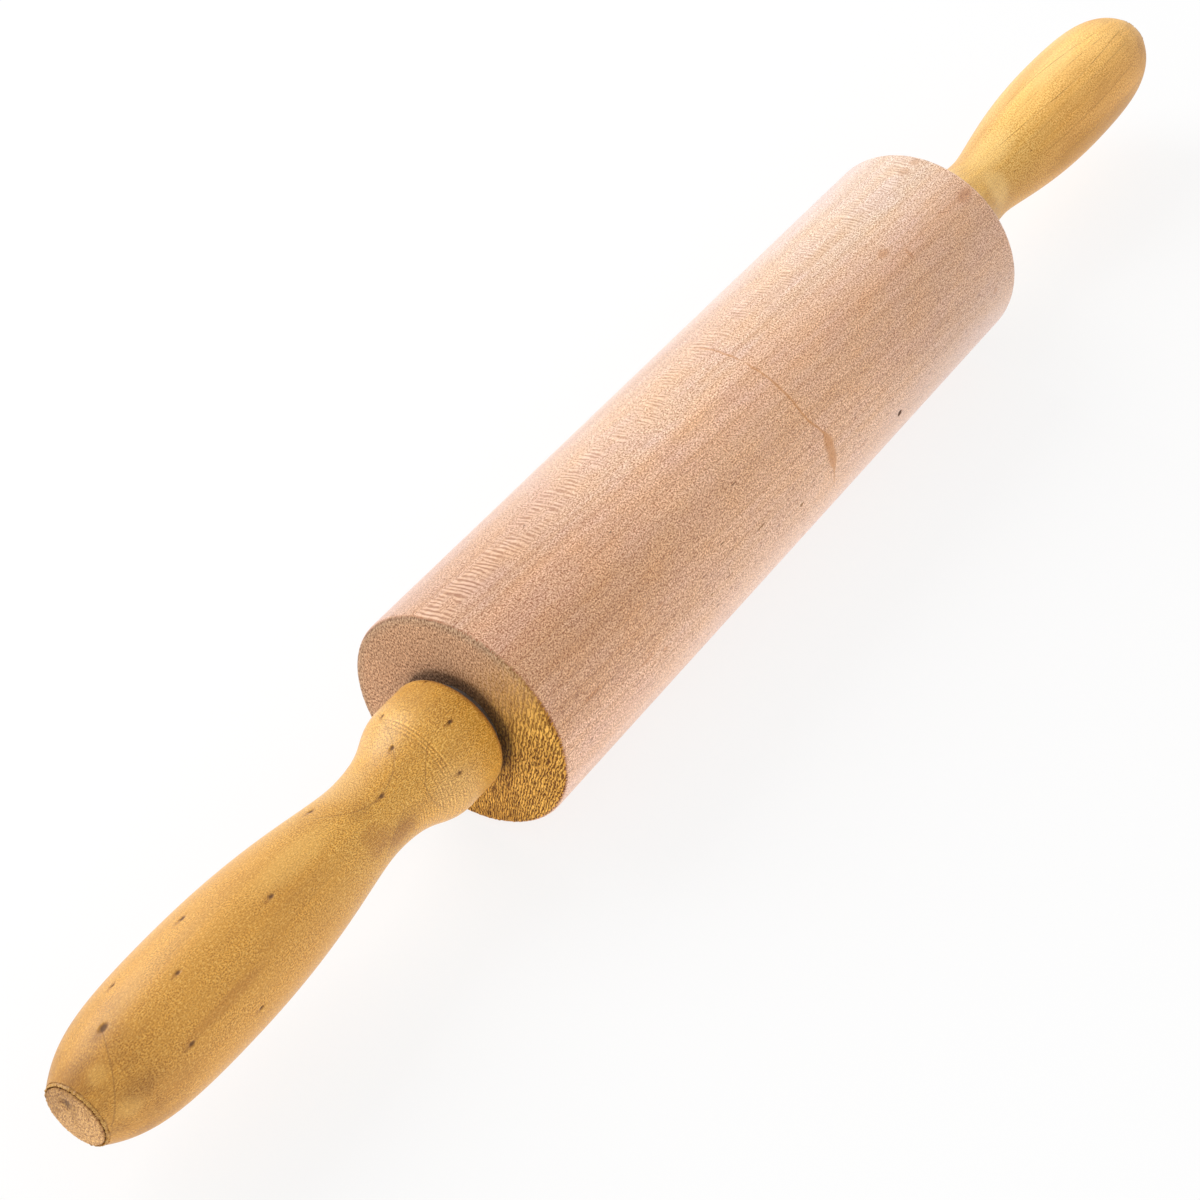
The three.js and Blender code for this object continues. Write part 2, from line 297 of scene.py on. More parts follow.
class Finish:
    """A material's or a world's node tree, built node by node."""

    def __init__(self, owner):
        owner.use_nodes = True
        self.owner = owner
        self.tree = owner.node_tree
        self.tree.nodes.clear()

    def node(self, kind, settings, inputs, output=0):
        """Adds a node with its settings, fills its sockets by name or number, returns one output."""
        made = self.tree.nodes.new(kind)
        for name, value in settings.items():
            setattr(made, name, value)
        for socket, value in inputs.items():
            if isinstance(value, Signal):
                self.tree.links.new(value.socket, made.inputs[socket])
            else:
                made.inputs[socket].default_value = value
        return Signal(self, made.outputs[output]) if made.outputs else None

    def maths(self, operation, *values):
        return self.node("ShaderNodeMath", {"operation": operation}, dict(enumerate(values)))

    def vector(self, operation, *values, output=0):
        settings = {"operation": operation}
        return self.node("ShaderNodeVectorMath", settings, dict(enumerate(values)), output)

    def about_axle(self):
        """The place on the piece in millimetres from the middle of the axle."""
        coordinates = self.node("ShaderNodeTexCoord", {}, {}, "Object")
        middle = (0.0, 0.0, -AXLE_HEIGHT)
        scale = (1 / MM, 1 / MM, 1 / MM)
        return self.vector("MULTIPLY_ADD", coordinates, scale, middle)

    def parts(self, place):
        """The three numbers of a place."""
        made = self.node("ShaderNodeSeparateXYZ", {}, {0: place}).socket.node
        return [Signal(self, output) for output in made.outputs]

    def noise(self, dimensions, place, detail, roughness, distortion):
        """Noise whose lumps measure about 1 in the place's own measure."""
        sockets = {
            "Vector": place,
            "Scale": 1.0,
            "Detail": detail,
            "Roughness": roughness,
            "Distortion": distortion,
        }
        return self.node("ShaderNodeTexNoise", {"noise_dimensions": dimensions}, sockets, "Fac")

    def grain(self, place, size, shift, detail=2.0, roughness=0.5):
        """Cloudy noise with lumps of a size, a number or (x, y, z). Each use has a shift of its own."""
        if not isinstance(size, tuple):
            size = (size, size, size)
        scale = tuple(1 / length for length in size)
        moved = self.vector("MULTIPLY_ADD", place, scale, (shift, -shift, shift / 2))
        return self.noise("3D", moved, detail, roughness, 0.0)

    def skin(self, lengthwise, sideways, size, shift, detail=0.0, distortion=0.0):
        """Flat noise on a surface's own two directions, with lumps of a size, (lengthwise, sideways)."""
        spread = {0: lengthwise / size[0] + shift, 1: sideways / size[1] - shift}
        flat = self.node("ShaderNodeCombineXYZ", {}, spread)
        return self.noise("2D", flat, detail, 0.5, distortion)

    def ease(self, value, low, high):
        """0 below low and 1 above high, smoothly in between."""
        settings = {"interpolation_type": "SMOOTHSTEP", "clamp": True}
        return self.node("ShaderNodeMapRange", settings, {0: value, 1: low, 2: high, 3: 0.0, 4: 1.0})

    def between(self, value, low, high, soft):
        """1 from low to high, and 0 beyond a soft edge on either side."""
        return self.ease(value, low - soft, low) * (1 - self.ease(value, high, high + soft))

    def sharpen(self, value, gain):
        """A value with its contrast raised about a half, held between 0 and 1."""
        settings = {"operation": "MULTIPLY_ADD", "use_clamp": True}
        return self.node("ShaderNodeMath", settings, {0: value, 1: gain, 2: 0.5 - gain / 2})

    def mix(self, amount, first, second, blend="MIX"):
        settings = {"data_type": "RGBA", "blend_type": blend}
        return self.node("ShaderNodeMix", settings, {0: amount, 6: first, 7: second}, 2)

    def tint(self, amount, colour, factor):
        """The colour multiplied by (red, green, blue), as far as the amount says."""
        return self.mix(amount, colour, (*factor, 1.0), "MULTIPLY")

    def tints(self, colour, tones):
        """The colour multiplied in turn by each (amount, (red, green, blue)) of a list."""
        for amount, factor in tones:
            colour = self.tint(amount, colour, factor)
        return colour

    def either(self, first, second):
        return self.maths("MAXIMUM", first, second)

    def facing(self, y, z, turn):
        """How far a place lies from the axle's line towards a turn."""
        angle = math.radians(turn)
        return y * math.sin(angle) + z * math.cos(angle)

    def hairline(self, gap, width):
        """A thin line where a distance is nothing."""
        return 1 - self.ease(abs(gap), width * 0.4, width)

    def marks(self, place, spots, radius_at):
        """A mask of spindle-shaped marks along the grain: x, turn, half length and half width of each."""
        mask = None
        for x, turn, half_length, half_width in spots:
            radius = radius_at(x)
            angle = math.radians(turn)
            middle = (x, radius * math.sin(angle), radius * math.cos(angle))
            away = self.vector("SUBTRACT", place, middle)
            shrunk = self.vector("DIVIDE", away, (half_length, half_width, half_width))
            mark = 1 - self.ease(self.vector("LENGTH", shrunk, output=1), 0.35, 1.0)
            mask = mark if mask is None else self.either(mask, mark)
        return mask

    def skinned(self, colour, roughness, height, depth, own_sockets):
        """A surface's shader, with a bump of a depth in millimetres and sockets of its own by name."""
        relief = {"Strength": 1.0, "Distance": depth * MM, "Height": height}
        bump = self.node("ShaderNodeBump", {}, relief)
        sockets = {"Base Color": colour, "Roughness": roughness, "Normal": bump, **own_sockets}
        return self.node("ShaderNodeBsdfPrincipled", {}, sockets)

    def surface(self, shader):
        """Puts a shader on the material and returns the material."""
        self.node("ShaderNodeOutputMaterial", {}, {"Surface": shader})
        return self.owner


# Barrel wood. Marks are (x, turn, half length, half width)
GRAIN_SLANT = 0.045
VEIN_SPACING = 7.3
RIPPLE_TURN = 13.5
RIPPLE_HALF = 5.0
RIPPLE_PITCH = 1.2
FAULT_TURN = 44
FAULT_SLOPE = 0.096
RING_MARK_X = 5.9
RING_MARK_STEP = 3.2
AMBER_TURN = -131
AMBER_LOW_TURN = -178
TUFT_MIDDLE = -8.0
TUFT_SPREAD = 0.03
TUFT_PITCH = 0.44
FIBRE_DARK = paint(162, 107, 70)
FIBRE_PALE = paint(248, 206, 170)
TICK_BROWN = paint(136, 84, 52)
RING_MARK_AMBER = paint(186, 118, 40)
SPOT_BROWN = paint(92, 60, 42)
KNOT_BROWN = paint(84, 56, 42)
END_DARK = paint(122, 82, 54)
END_PALE = paint(222, 178, 140)
AMBER_DARK = paint(104, 58, 4)
AMBER_PALE = paint(255, 198, 96)
# The painted shadow round the handle's collar
COLLAR_SHADOW_BROWN = paint(62, 42, 24)
BARREL_BLOOM = {
    "Specular IOR Level": 0.5,
    "Sheen Weight": 1.0,
    "Sheen Roughness": 0.3,
    "Sheen Tint": paint(255, 238, 234),
}
BARREL_KNOT = (40.2, -92, 1.4, 1.2)
BARREL_MARKS = (
    BARREL_KNOT,
    (-21.5, -71.5, 2.2, 0.26),
    (-5.6, -82, 1.1, 0.5),
    (-23.3, -45, 1.2, 0.2),
    (-35.2, -61.5, 1.2, 0.22),
    (-43.3, -78, 1.0, 0.25),
    (-57.0, -20, 0.5, 0.25),
    (-66.0, 14, 0.5, 0.2),
    (12.0, 110, 1.2, 0.2),
    (-70.0, 150, 1.6, 0.25),
    (60.0, 200, 1.1, 0.22),
)
BARREL_STAINS = (
    (92.0, 6, 2.8, 2.0),
    (97.0, 5.5, 2.4, 2.0),
    (95.0, -28, 4.5, 2.4),
    (61.0, -19, 3.0, 1.6),
    (66.6, -28.5, 1.0, 2.0),
    (88.8, -80, 1.5, 1.3),
    (-87.0, -66, 4.5, 0.6),
    (-69.0, -76, 4.0, 0.6),
    (-62.0, -80, 1.4, 0.9),
    (22.0, -86, 3.4, 0.6),
    (-59.5, -60, 2.4, 0.4),
    (-30.0, 170, 6.0, 2.0),
)


def barrel_wood():
    """Bare pinkish wood: short fibres, a band of cross ripples, an amber ring mark, torn end grain."""
    finish = Finish(bpy.data.materials.new("barrel_wood_bare"))
    place = finish.about_axle()
    x, y, z = finish.parts(place)
    # A degree is its length on the surface, roll the way round it, lay the same across slanting grain
    degree = math.radians(BARREL_RADIUS)
    turn = finish.maths("ARCTAN2", y, z) * math.degrees(1)
    roll = turn * degree
    lay = roll + x * GRAIN_SLANT
    reach = finish.maths("SQRT", y * y + z * z)
    # The far end is the right one and the near end the left one, as in the photograph
    far = finish.ease(x, 10, 80)
    near = 1 - finish.ease(x, -95, -20)
    mottle = finish.grain(place, (12.0, 6.0, 6.0), 6.9)
    wander = finish.skin(x, roll, (26.0, 90.0), 5.3, detail=1.0)

    def marks_on(spots):
        return finish.marks(place, spots, lambda _: BARREL_RADIUS)

    # Short fibres, and the band of ripples across them
    fibre = finish.sharpen(finish.skin(x, roll, (0.42, 0.31), 3.1, detail=1.0, distortion=0.5), 2.8)
    from_band = abs(roll - RIPPLE_TURN * degree + far * 2.2 + (wander - 0.5) * 5)
    ripple_patch = finish.skin(x, roll, (5.0, 3.4), 4.1, detail=1.0) + near * 0.09
    ripple_patch = finish.ease(ripple_patch, 0.36, 0.62)
    rippled = (1 - finish.ease(from_band, RIPPLE_HALF * 0.4, RIPPLE_HALF)) * ripple_patch
    sway = finish.skin(x, roll, (2.6, 7.0), 9.4, detail=1.0)
    stroke = finish.maths("SINE", (x + sway * 1.7) * (math.tau / RIPPLE_PITCH))
    frayed_stroke = finish.skin(x, roll, (0.9, 1.8), 6.4, detail=1.0) - 0.5
    ripple = 0.1 + finish.ease(stroke + frayed_stroke * 2.4, -0.8, 0.8) * 0.8
    fibre = fibre + (ripple - fibre) * rippled * (0.58 + near * 0.3)

    # Grain along the barrel
    streak = finish.skin(x, lay, (70.0, 1.5), 7.7, detail=2.0)
    band = finish.skin(x, lay, (160.0, 5.0), 1.9, detail=1.0)
    from_vein = finish.maths("FRACT", lay / VEIN_SPACING + 0.32) * VEIN_SPACING - 3.6
    vein = finish.hairline(from_vein + (mottle - 0.5) * 1.2, 0.2)
    shown = finish.ease(finish.skin(x, lay, (34.0, 3.0), 4.9, detail=1.0), 0.48, 0.66)
    tick = finish.ease(finish.skin(x, roll, (2.6, 0.4), 2.4), 0.72, 0.82)
    colour = finish.tints(finish.mix(fibre, FIBRE_DARK, FIBRE_PALE), (
        (finish.ease(mottle, 0.46, 0.7), (0.98, 0.98, 1.05)),
        (1 - finish.ease(mottle, 0.3, 0.5), (1.02, 0.99, 0.93)),
        (finish.ease(streak, 0.48, 0.75), (0.93, 0.89, 0.84)),
        (1 - finish.ease(streak, 0.28, 0.5), (1.03, 1.05, 1.1)),
        (finish.ease(band, 0.4, 0.7), (0.94, 0.91, 0.86)),
        (vein * shown * 0.8, (0.8, 0.74, 0.66)),
    ))
    colour = finish.mix(tick * (0.15 + finish.ease(-turn, 30, 75) * 0.5), colour, TICK_BROWN)

    # Tones: paler upwards as painted light, a painted sheen along the upper edge and painted light along
    # the underside; tan below; painted shade at the near end, on the back and low down at the far end,
    # where it is dull
    painted_light_above = finish.between(turn, -4, 62, 34)
    painted_sheen_edge = finish.between(turn, 44, 66, 22)
    tan = finish.between(turn, -60, -36, 14)
    warm = finish.between(-turn, 10, 26, 8)
    far_warm = far * finish.between(-turn, 14, 27, 8)
    painted_light_under = finish.between(-turn, 102, 130, 36)
    painted_shade_far_low = far * finish.between(-turn, 50, 120, 26)
    painted_shade_far_under = far * finish.between(-turn, 88, 130, 24)
    painted_shade_near_front = near * finish.between(turn, -58, 30, 20)
    # The back: painted shade
    back = finish.between(turn, 84, 150, 26)
    colour = finish.tints(colour, (
        (painted_light_above, (1.1, 1.19, 1.31)),
        (painted_light_above * far, (1.07, 1.2, 1.33)),
        (painted_light_above * near, (0.93, 0.85, 0.82)),
        ((1 - painted_light_above) * near, (1.03, 1.0, 1.0)),
        (painted_shade_near_front, (0.87, 0.86, 0.83)),
        (painted_sheen_edge, (0.92, 0.93, 0.99)),
        (painted_sheen_edge * near, (0.96, 0.94, 0.89)),
        (tan, (1.03, 1.0, 0.95)),
        (warm, (1.05, 1.0, 0.96)),
        (far_warm, (0.97, 0.95, 0.94)),
        (painted_light_under, (1.07, 1.12, 1.18)),
        (painted_shade_far_low, (0.86, 0.86, 0.88)),
        (painted_shade_far_under, (0.92, 0.91, 0.88)),
        (back, (0.8, 0.79, 0.76)),
    ))

    # A long fault, the ring mark, stains and dark spots
    fault_gap = roll + (FAULT_TURN + (x + BARREL_END) * FAULT_SLOPE) * degree + (wander - 0.5) * 1.2
    fault = finish.hairline(fault_gap, 0.2) * (0.3 + shown * 0.7)
    colour = finish.tint(fault * 0.7, colour, (0.78, 0.74, 0.7))
    ring_line = RING_MARK_X + finish.ease(-turn, 46, 64) * RING_MARK_STEP
    wobble = finish.grain(place, 3.0, 2.2)
    from_line = abs(x - ring_line + (wobble - 0.5) * 1.1)
    smear = finish.between(turn, -76, -67, 8)
    line = 1 - finish.ease(from_line / (0.3 + wobble * 0.3 + smear * 1.9), 0.4, 1.0)
    line = line * finish.between(turn, -88, 18, 4)
    broken = finish.ease(finish.grain(place, 3.4, 8.8) + finish.ease(-turn, 22, 40) * 0.3, 0.32, 0.5)
    strength = 0.34 + finish.ease(-turn, 20, 55) * 0.12 + fibre * 0.28
    colour = finish.mix(line * broken * strength, colour, RING_MARK_AMBER)
    colour = finish.tint(marks_on(BARREL_STAINS) * (0.5 + fibre * 0.5), colour, (0.79, 0.65, 0.51))
    spots = marks_on(BARREL_MARKS)
    colour = finish.mix(spots * 0.9, colour, SPOT_BROWN)
    rim = finish.ease(abs(x), BARREL_END - 1.0, BARREL_END - 0.6)
    colour = finish.tint(rim * (0.35 + far * 0.65), colour, (0.74, 0.66, 0.62))

    # End grain: dusty above, amber and torn into strands below
    end = finish.ease(abs(x) + (fibre - 0.5) * 0.5, BARREL_END - 0.56, BARREL_END - 0.44)
    amber_side = finish.facing(y, z, AMBER_TURN)
    amber = finish.ease(amber_side + (mottle - 0.5) * 4, -12.0, 9.0)
    torn = finish.ease(amber_side, -2.0, 15.0)
    dusty = finish.skin(z + y * 0.5, y - z * 0.3, (0.62, 0.34), 6.1, detail=1.0, distortion=0.4)
    dust = finish.sharpen(dusty, 2.3)
    bend = finish.skin(z, y, (2.6, 2.6), 3.7, detail=1.0)
    fan = (y - TUFT_MIDDLE) / ((z + BARREL_RADIUS) * TUFT_SPREAD + 1)
    loose = finish.skin(z, y, (1.7, 0.5), 4.6, detail=1.0)
    strand = finish.maths("SINE", (fan + bend * 0.5) * (math.tau / TUFT_PITCH) + loose * 9)
    tuft = finish.ease(strand + (dust - 0.5) * 1.3, -1.3, 1.3)
    tuft = 0.5 + (tuft - 0.5) * (0.45 + torn * 0.55)
    blotch = finish.ease(mottle, 0.4, 0.65)
    clump = finish.ease(finish.skin(z, y, (2.4, 1.1), 8.3, detail=1.0), 0.36, 0.64)
    # Painted shade on the amber end grain towards the bottom
    low_side_shade = finish.ease(finish.facing(y, z, AMBER_LOW_TURN), 10.0, 24.0)
    plain_end = finish.tint(blotch, finish.mix(dust, END_DARK, END_PALE), (0.95, 0.96, 0.97))
    amber_end = finish.tints(finish.mix(tuft, AMBER_DARK, AMBER_PALE), (
        (blotch, (0.86, 0.82, 0.76)),
        (clump, (0.82, 0.78, 0.7)),
        (low_side_shade, (0.84, 0.81, 0.72)),
    ))

    # Wear towards the rim, and painted shadow round the collar: a dark ring and softer painted shade to
    # one side
    worn_edge = finish.ease(reach, BARREL_RADIUS - 3.2, BARREL_RADIUS - 0.6) * (1 - amber)
    low_rim = finish.ease(reach, BARREL_RADIUS - 1.1, BARREL_RADIUS - 0.3) * amber
    edge_line = finish.hairline(reach - BARREL_RADIUS + 0.5, 0.3) * finish.between(turn, 20, 150, 30)
    # Painted shadow on the end face: a dark ring round the collar, textured by the dust, then softer
    # painted shade beside it
    from_axle = reach + (mottle - 0.5) * 2
    collar_shadow = 1 - finish.ease(from_axle, COLLAR_RADIUS - 1.2, COLLAR_RADIUS + 0.7)
    shade = 1 - finish.ease(from_axle, COLLAR_RADIUS - 0.6, COLLAR_RADIUS + 3.4)
    end_colour = finish.tints(finish.mix(amber, plain_end, amber_end), (
        (worn_edge, (0.88, 0.94, 0.98)),
        (low_rim, (0.8, 0.68, 0.56)),
        (edge_line * 0.7, (0.66, 0.62, 0.62)),
    ))
    end_colour = finish.mix(collar_shadow * (0.82 - dust * 0.3), end_colour, COLLAR_SHADOW_BROWN)
    end_colour = finish.tint(shade * finish.between(turn, -120, 0, 24), end_colour, (0.8, 0.76, 0.72))
    knot = finish.either(
        finish.ease(marks_on((BARREL_KNOT,)), 0.2, 0.9),
        finish.ease(spots, 0.2, 0.9) * 0.55,
    )
    end_colour = finish.mix(knot, end_colour, KNOT_BROWN)

    height = fibre * 0.4 + ripple * rippled * 0.6 - spots - tick * 0.5 + end * tuft * amber * 2.0
    sides = finish.skinned(colour, 0.34 + fibre * 0.1 + rim * 0.34, height, 0.05, BARREL_BLOOM)
    ends = finish.skinned(end_colour, 0.7 + dust * 0.1, height, 0.05, {"Specular IOR Level": 0.2})
    bare = finish.either(end, knot)
    return finish.surface(finish.node("ShaderNodeMixShader", {}, {0: bare, 1: sides, 2: ends}))


# Handle wood. Pits are (distance from the barrel's end face, turn, half length)
LEFT_PITS = (
    (3.6, 21, 0.7),
    (10.2, -25, 0.8),
    (15.2, 35, 0.75),
    (21.3, 3, 0.9),
    (15.6, -64, 0.8),
    (27.0, 57, 0.9),
    (31.0, -26, 0.95),
    (42.7, 24, 1.0),
    (65.7, -20, 0.9),
    (79.0, 25, 1.0),
    (89.9, -10, 0.8),
    (97.5, 31, 0.8),
    (81.3, -81, 0.7),
    (106.1, 7, 1.5),
    (97.5, -57, 0.9),
    (55.0, 150, 0.9),
    (88.0, 190, 1.0),
    (36.0, 215, 0.8),
)
RIGHT_PITS = (
    (44.5, -46, 0.34),
    (36.0, -52, 0.3),
    (30.0, 140, 0.7),
    (83.0, 205, 0.8),
)
# Brown streaks are (distance from the barrel's end face, turn, half length, half width)
LEFT_STREAKS = (
    (40.3, -47, 3.6, 2.0),
    (38.0, -44, 2.6, 1.2),
    (32.0, -80, 6.0, 2.8),
    (38.5, -62, 6.0, 3.4),
    (88.0, -53, 15.0, 1.8),
    (70.0, 170, 16.0, 2.6),
)
RIGHT_STREAKS = ((75.0, 160, 18.0, 2.4),)
# Darker patches, as the streaks: on the left handle the wood's own dull patches, with painted shade on the
# collar's top; on the right handle painted shade along the low side
LEFT_SHADES = (
    (116.0, 6, 3.2, 7.0),
    (109.8, -54, 5.0, 3.6),
    (31.5, -86, 7.0, 5.0),
    (37.0, -20, 5.0, 3.0),
    (7.0, 12, 8.5, 11.0),
)
RIGHT_SHADES = (
    (66.0, -93, 24.0, 7.0),
    (84.0, -100, 24.0, 6.0),
)
# Greyish worn patches, as the streaks
LEFT_DULLS = (
    (20.0, 27, 6.0, 6.5),
    (17.5, -78, 7.0, 8.5),
    (34.0, 26, 8.0, 7.0),
)
# Yellow patches, as the streaks
LEFT_GLOWS = (
    (113.2, -17, 3.4, 2.6),
    (112.6, -66, 4.0, 3.0),
    (56.0, -10, 18.0, 4.0),
)
RIGHT_GLOWS = (
    (27.0, -50, 6.5, 8.0),
    (36.0, 0, 14.0, 6.0),
    (76.0, 10, 20.0, 5.0),
)
# Along is the distance from the barrel's end face.
# Arched year lines are (along and turn of the top, bend, along from and to, strength)
LEFT_ARCHES = ((32.0, -25.0, 0.228, 15.5, 44.0, 0.28),)
# Cracks are (along at a turn, that turn, slope, bend, turn from and to, strength)
LEFT_CRACKS = (
    (22.8, -65.0, 0.0, -0.0034, -92, -26, 0.42),
    (34.0, -74.0, -0.3, 0.0, -88, -60, 0.5),
    (107.57, 0.0, -0.153, -0.00052, -74, 6, 0.36),
)
# Turning marks round the collar are (along at turn 0, slope, turn from and to, strength)
LEFT_TURNING_MARKS = (
    (16.2, -0.0143, -53, 24, 0.9),
    (16.9, -0.0125, -52, 20, 0.75),
    (17.6, -0.0106, -50, 16, 0.9),
)
# Grain lines along the handle are (turn at LINE_MIDDLE, slope, bend, along from and to, strength)
RIGHT_LINES = (
    (16.0, -0.62, 0.0, 54, 93, 0.6),
    (21.0, -0.52, 0.0, 56, 82, 0.3),
    (-2.4, -0.31, 0.0, 57, 92, 0.34),
    (-22.2, -0.2, 0.0085, 43, 99, 0.6),
    (-35.2, 0.0, 0.0, 37, 97, 0.36),
    (-47.0, 0.0, 0.0, 52, 90, 0.22),
    (-60.5, 0.05, 0.0, 50, 97, 0.34),
    (-83.0, -0.13, 0.0, 52, 99, 0.3),
    (62.0, -0.3, 0.0, 40, 96, 0.4),
    (104.0, 0.1, 0.0, 36, 99, 0.4),
    (148.0, -0.1, 0.0, 44, 94, 0.36),
    (-118.0, 0.1, 0.0, 40, 98, 0.36),
    (-155.0, -0.2, 0.0, 50, 100, 0.4),
)
LINE_MIDDLE = 70.0
SCRATCH_PITCH = 0.7
MEAN_RADIUS = 12.0
FLECK_SIZE = (0.62, 0.24)
# The painted shade on a handle's low side
PAINTED_SHADE_TONE = (0.67, 0.59, 0.47)
PIT_BROWN = paint(90, 56, 24)
SCORE_BROWN = paint(112, 74, 32)
LIP_DARK = paint(136, 88, 32)
LIP_PALE = paint(224, 174, 86)
LACQUER_BLOOM = paint(255, 240, 224)


def handle_wood(name, side, look):
    """Lacquered golden wood: fine flecks, long grain lines, brown streaks, pin knots and lathe marks."""
    finish = Finish(bpy.data.materials.new(name))
    place = finish.about_axle()
    x, y, z = finish.parts(place)
    turn = finish.maths("ARCTAN2", y, z) * math.degrees(1)
    degree = math.radians(MEAN_RADIUS)
    roll = turn * degree
    along = x * side - BARREL_END

    def radius_at(spot_x):
        return handle_radius(abs(spot_x) - BARREL_END)

    def marks_at(spots):
        placed = [(side * (BARREL_END + out), *rest) for out, *rest in spots]
        return finish.marks(place, placed, radius_at)

    # Flecks, crisper towards the barrel and coarsest on the neck
    crisp = 1 - finish.ease(along, 36, 62)
    speck = finish.skin(along, roll, look["speck"], 8.2, detail=1.0)
    speck = finish.sharpen(speck, look["bite"] + crisp * 3.1)
    dash = finish.ease(finish.skin(along, roll, FLECK_SIZE, 2.7, distortion=0.4), 0.54, 0.8)
    quiet = finish.ease(finish.skin(along, roll, (9.0, 4.0), 4.7, detail=1.0), 0.32, 0.62)
    coarse_neck = finish.between(along, 21, 44, 8)
    speck = 0.5 + (speck - 0.5) * (1.25 - quiet * 0.6 + coarse_neck * 0.35)
    colour = finish.mix(speck, look["dark"], look["light"])
    colour = finish.mix(dash * (0.4 + crisp * 0.25), colour, look["fleck"])

    # Grain along the handle
    cloud = finish.grain(place, (30.0, 7.0, 7.0), 6.6, detail=3.0, roughness=0.55)
    strand = finish.skin(along, roll, (20.0, 0.7), 5.4, detail=2.0)
    bands = finish.skin(along, roll, (60.0, 2.2), 3.9, detail=1.0)
    colour = finish.tints(colour, (
        (finish.ease(cloud, 0.44, 0.7), (0.9, 0.87, 0.82)),
        (finish.ease(strand, 0.5, 0.76), look["strand"]),
        (finish.ease(bands, 0.45, 0.75), (1.06, 1.05, 0.98)),
    ))

    # Tones round and along the handle: painted light on the upper side, painted shade on the low side, on
    # the back and on the top, and a tone along the belly
    painted_light_side = finish.ease(finish.facing(y, z, look["painted_light_facing"]), 3.0, 12.5)
    colour = finish.mix(painted_light_side * look["painted_light_show"], colour, look["pale"])
    painted_shade_side = finish.ease(finish.facing(y, z, look["painted_shade_facing"]), 0.0, 10.5)
    colour = finish.tints(colour, (
        (painted_shade_side * look["painted_shade_show"], PAINTED_SHADE_TONE),
        (finish.between(turn, 80, 140, 34), look["back"]),
        (finish.between(turn, 30, 90, 18), look["top"]),
        (finish.ease(along, 40, 66), look["belly"]),
    ))

    # Yellow, greyish and brown patches, and darker patches that are partly dull wood and partly painted
    # shade
    glow = marks_at(look["glows"])
    colour = finish.mix(glow * 0.26, colour, look["pale"])
    colour = finish.tint(marks_at(look["shades"]), colour, look["shade"])
    if look["dulls"]:
        dull = finish.mix(speck, look["dull"], look["pale"])
        colour = finish.mix(marks_at(look["dulls"]) * 0.6, colour, dull)
    brown = marks_at(look["streaks"]) * finish.ease(cloud + speck * 0.2, 0.26, 0.6)
    colour = finish.tint(brown, colour, (0.8, 0.72, 0.64))

    # Long grain lines
    line = 0.0
    for at, slope, bend, start, stop, strength in look["lines"]:
        away = along - LINE_MIDDLE
        gap = (turn - at - away * slope - away * away * bend) * degree + (cloud - 0.5) * 0.8
        line = finish.hairline(gap, 0.16) * finish.between(along, start, stop, 8) * strength + line
    if look["lines"]:
        patchy = finish.ease(finish.skin(along, roll, (11.0, 1.4), 8.1, detail=1.0), 0.36, 0.56)
        colour = finish.mix(line * (0.32 + patchy * 0.58), colour, look["ring"])

    # Arched year lines and cracks
    seam = 0.0
    for top, top_turn, bend, start, stop, strength in look["arches"]:
        fall = (along - top) * (along - top) * bend
        arch = (turn - fall - top_turn) * math.radians(NECK_RADIUS) + (cloud - 0.5) * 0.5
        zone = finish.between(along, start, stop, 2)
        thread = finish.hairline(arch, 0.26) * zone
        colour = finish.tint(finish.ease(arch, 0.0, 0.4) * zone * 0.5, colour, (1.06, 1.05, 1.1))
        colour = finish.mix(thread * strength, colour, look["ring"])
        seam = thread + seam
    for out, at, slope, bend, low, high, strength in look["cracks"]:
        swing = turn - at
        crack = along - out - swing * slope - swing * swing * bend + (cloud - 0.5) * 0.4
        thread = finish.hairline(crack, 0.22) * finish.between(turn, low, high, 8)
        colour = finish.mix(thread * strength, colour, look["ring"])
        seam = thread + seam

    # Pits with a brown tail each
    spots = [(out, at, half * 1.05, half * 0.62) for out, at, half in look["pits"]]
    tails = [(out + half * 0.7, at, half * 2.8, half * 0.75) for out, at, half in look["pits"]]
    pit = marks_at(spots)
    colour = finish.tint(marks_at(tails) * 0.8, colour, (0.66, 0.58, 0.46))
    colour = finish.mix(pit * 0.86, colour, PIT_BROWN)

    # Turning marks round the collar, and scratches below them
    groove = 0.0
    for at, slope, low, high, strength in look["turning_marks"]:
        gap = along - at - turn * slope + (cloud - 0.5) * 0.3
        zone = finish.between(turn, low, high, 14)
        cut = finish.hairline(gap - 0.33, 0.25) * zone
        colour = finish.tint(finish.hairline(gap, 0.26) * zone * strength, colour, (1.2, 1.22, 1.3))
        colour = finish.tint(cut * strength, colour, (0.74, 0.69, 0.6))
        groove = cut + groove
    scratch_zone = finish.between(along, 16, 25, 5) * finish.between(turn, -112, -56, 18)
    phase = finish.skin(along, roll, (6.0, 18.0), 6.3) * 6
    gouged = finish.ease(finish.skin(along, roll, (1.1, 3.4), 7.9, detail=1.0), 0.3, 0.6)
    scratch = finish.maths("SINE", along * (math.tau / SCRATCH_PITCH) + phase) * scratch_zone * gouged

